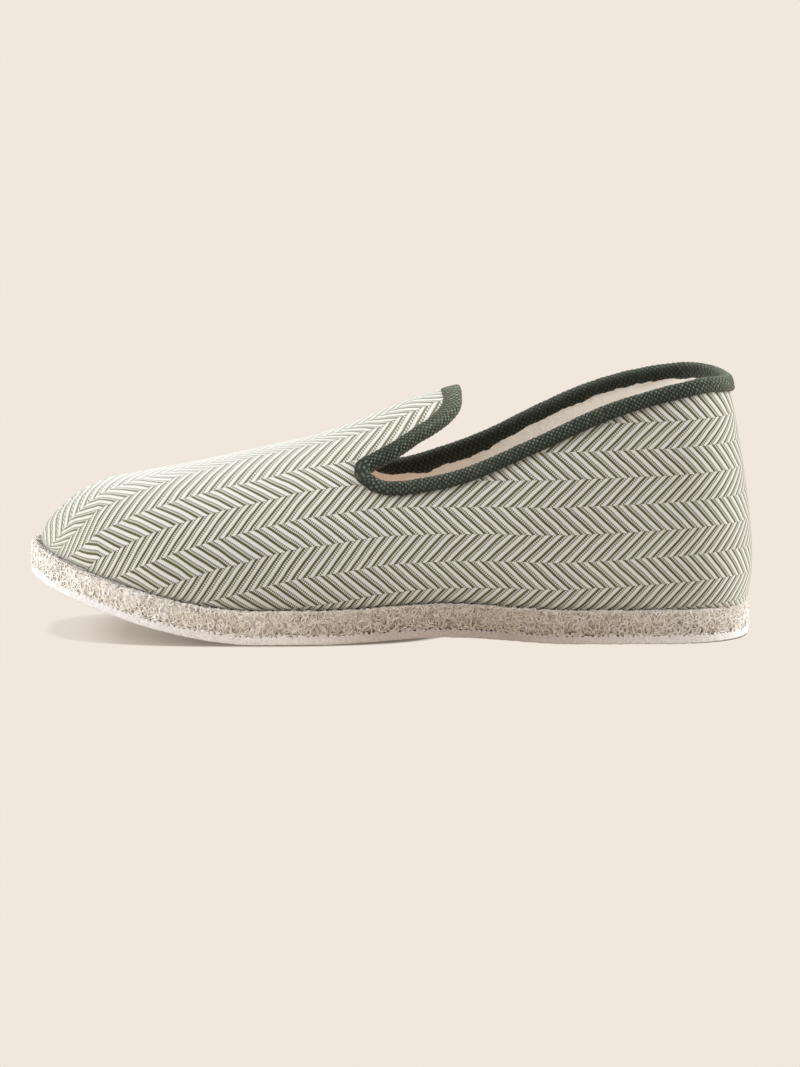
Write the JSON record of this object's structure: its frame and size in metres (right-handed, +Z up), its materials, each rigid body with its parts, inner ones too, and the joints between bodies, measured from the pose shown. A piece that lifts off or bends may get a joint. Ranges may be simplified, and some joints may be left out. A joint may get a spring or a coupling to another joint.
{
  "type": "house slipper",
  "caption": "Slip-on house slipper, left shoe: woven cloth upper with a tongue-shaped vamp, knitted tape round the collar, fleece lining, thick felt midsole and thin toothed outsole.",
  "frame": {"origin": "on the floor, under the middle of the slipper's bounding box", "axes": "+Z up, toe toward -X, heel toward +X, outer side of the left foot toward -Y, inner side toward +Y"},
  "size_m": [0.27, 0.0988, 0.0993],
  "materials": {
    "rubber_sole": "matte",
    "felt": "felted wool",
    "fleece": "wool pile",
    "cloth": "herringbone weave",
    "tape": "ribbed knit"
  },
  "bodies": {
    "root": {"outsole": "rubber_sole", "midsole": "felt", "insole": "fleece", "upper": "cloth", "binding": "tape"}
  },
  "joints": []
}
